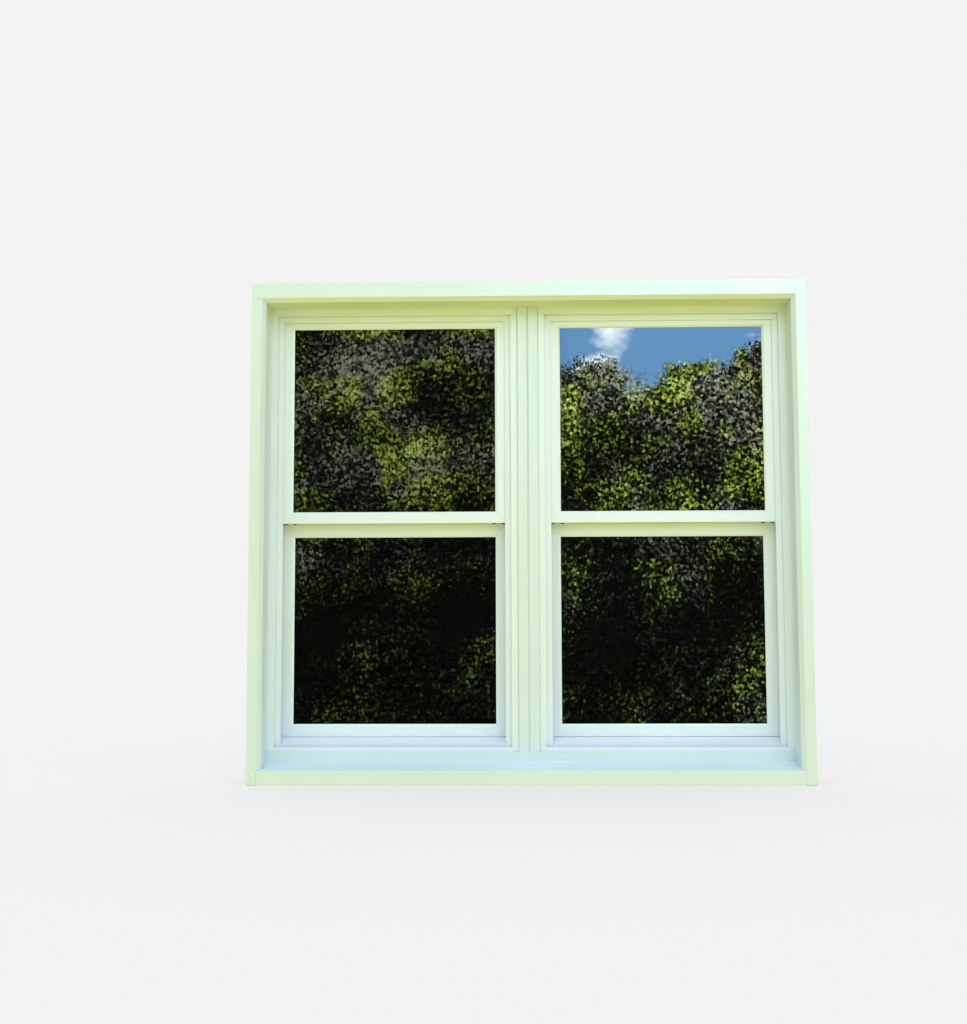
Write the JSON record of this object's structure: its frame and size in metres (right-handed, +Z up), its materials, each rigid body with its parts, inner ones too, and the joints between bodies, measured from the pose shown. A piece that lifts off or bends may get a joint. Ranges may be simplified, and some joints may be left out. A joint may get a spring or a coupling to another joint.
{
  "type": "sash window",
  "caption": "Twin double-hung sash window in a capped timber frame, with sliding sashes, insulated glass, spring balances, tilt latches and cam locks.",
  "frame": {"origin": "bottom centre of the whole window, centred front to back", "axes": "+X to the right seen from outside, +Y from the outside to the room, +Z up"},
  "size_m": [1.506, 0.181, 1.355],
  "materials": {
    "capping": "white baked enamel, low gloss",
    "timber": "primed softwood",
    "vinyl": "white satin vinyl",
    "glass": "clear low-emissivity glass",
    "spacer_metal": "mill finish",
    "hardware_plastic": "moulded",
    "latch_plastic": "moulded white",
    "plated_steel": "zinc plated",
    "lock_metal": "white enamelled casting"
  },
  "bodies": {
    "frame": {"head_cap": "capping", "right_jamb_cap": "capping", "left_jamb_cap": "capping", "sill_cap": "capping", "mull_cap": "capping", "head_casing": "timber", "right_jamb_casing": "timber", "left_jamb_casing": "timber", "head_board": "timber", "right_jamb_board": "timber", "left_jamb_board": "timber", "sill_board": "timber", "mull_post": "timber", "frame_screws": "plated_steel", "balance_coils": "hardware_plastic", "left_unit_frame": "vinyl", "left_upper_tapes": "plated_steel", "left_lower_tapes": "plated_steel", "right_unit_frame": "vinyl", "right_upper_tapes": "plated_steel", "right_lower_tapes": "plated_steel"},
    "left_upper_sash": {"left_upper_sash": "vinyl", "left_upper_glass": "glass", "left_upper_spacer": "spacer_metal", "left_upper_beads": "vinyl", "left_upper_shoes": "hardware_plastic", "left_upper_pivot_bars": "plated_steel", "left_keeper": "lock_metal"},
    "left_upper_latch_left": {"left_upper_latch_left": "latch_plastic"},
    "left_upper_latch_right": {"left_upper_latch_right": "latch_plastic"},
    "left_lower_sash": {"left_lower_sash": "vinyl", "left_lower_glass": "glass", "left_lower_spacer": "spacer_metal", "left_lower_beads": "vinyl", "left_lower_shoes": "hardware_plastic", "left_lower_pivot_bars": "plated_steel", "left_lock_base": "lock_metal"},
    "left_lower_latch_left": {"left_lower_latch_left": "latch_plastic"},
    "left_lower_latch_right": {"left_lower_latch_right": "latch_plastic"},
    "left_lock_lever": {"left_lock_lever": "lock_metal"},
    "right_upper_sash": {"right_upper_sash": "vinyl", "right_upper_glass": "glass", "right_upper_spacer": "spacer_metal", "right_upper_beads": "vinyl", "right_upper_shoes": "hardware_plastic", "right_upper_pivot_bars": "plated_steel", "right_keeper": "lock_metal"},
    "right_upper_latch_left": {"right_upper_latch_left": "latch_plastic"},
    "right_upper_latch_right": {"right_upper_latch_right": "latch_plastic"},
    "right_lower_sash": {"right_lower_sash": "vinyl", "right_lower_glass": "glass", "right_lower_spacer": "spacer_metal", "right_lower_beads": "vinyl", "right_lower_shoes": "hardware_plastic", "right_lower_pivot_bars": "plated_steel", "right_lock_base": "lock_metal"},
    "right_lower_latch_left": {"right_lower_latch_left": "latch_plastic"},
    "right_lower_latch_right": {"right_lower_latch_right": "latch_plastic"},
    "right_lock_lever": {"right_lock_lever": "lock_metal"}
  },
  "joints": [
    {"name": "left_upper_latch_left_draw", "type": "slide", "parent": "left_upper_sash", "child": "left_upper_latch_left", "axis": [1, 0, 0], "range_m": [0, 0.01], "stiffness_N_per_m": 150, "springref_m": -0.02},
    {"name": "left_upper_latch_right_draw", "type": "slide", "parent": "left_upper_sash", "child": "left_upper_latch_right", "axis": [-1, 0, 0], "range_m": [0, 0.01], "stiffness_N_per_m": 150, "springref_m": -0.02},
    {"name": "left_upper_slide", "type": "slide", "parent": "frame", "child": "left_upper_sash", "axis": [0, 0, -1], "range_m": [0, 0.52], "deforming": ["left_upper_tapes"]},
    {"name": "left_lower_latch_left_draw", "type": "slide", "parent": "left_lower_sash", "child": "left_lower_latch_left", "axis": [1, 0, 0], "range_m": [0, 0.01], "stiffness_N_per_m": 150, "springref_m": -0.02},
    {"name": "left_lower_latch_right_draw", "type": "slide", "parent": "left_lower_sash", "child": "left_lower_latch_right", "axis": [-1, 0, 0], "range_m": [0, 0.01], "stiffness_N_per_m": 150, "springref_m": -0.02},
    {"name": "left_lower_slide", "type": "slide", "parent": "frame", "child": "left_lower_sash", "axis": [0, 0, 1], "range_m": [0, 0.52], "deforming": ["left_lower_tapes"]},
    {"name": "left_lock_turn", "type": "hinge", "parent": "left_lower_sash", "child": "left_lock_lever", "pos_m": [-0.371, 0.06375, 0.731], "axis": [0, 0, 1], "range_deg": [-180, 0]},
    {"name": "right_upper_latch_left_draw", "type": "slide", "parent": "right_upper_sash", "child": "right_upper_latch_left", "axis": [1, 0, 0], "range_m": [0, 0.01], "stiffness_N_per_m": 150, "springref_m": -0.02},
    {"name": "right_upper_latch_right_draw", "type": "slide", "parent": "right_upper_sash", "child": "right_upper_latch_right", "axis": [-1, 0, 0], "range_m": [0, 0.01], "stiffness_N_per_m": 150, "springref_m": -0.02},
    {"name": "right_upper_slide", "type": "slide", "parent": "frame", "child": "right_upper_sash", "axis": [0, 0, -1], "range_m": [0, 0.52], "deforming": ["right_upper_tapes"]},
    {"name": "right_lower_latch_left_draw", "type": "slide", "parent": "right_lower_sash", "child": "right_lower_latch_left", "axis": [1, 0, 0], "range_m": [0, 0.01], "stiffness_N_per_m": 150, "springref_m": -0.02},
    {"name": "right_lower_latch_right_draw", "type": "slide", "parent": "right_lower_sash", "child": "right_lower_latch_right", "axis": [-1, 0, 0], "range_m": [0, 0.01], "stiffness_N_per_m": 150, "springref_m": -0.02},
    {"name": "right_lower_slide", "type": "slide", "parent": "frame", "child": "right_lower_sash", "axis": [0, 0, 1], "range_m": [0, 0.52], "deforming": ["right_lower_tapes"]},
    {"name": "right_lock_turn", "type": "hinge", "parent": "right_lower_sash", "child": "right_lock_lever", "pos_m": [0.371, 0.06375, 0.731], "axis": [0, 0, 1], "range_deg": [-180, 0]}
  ]
}
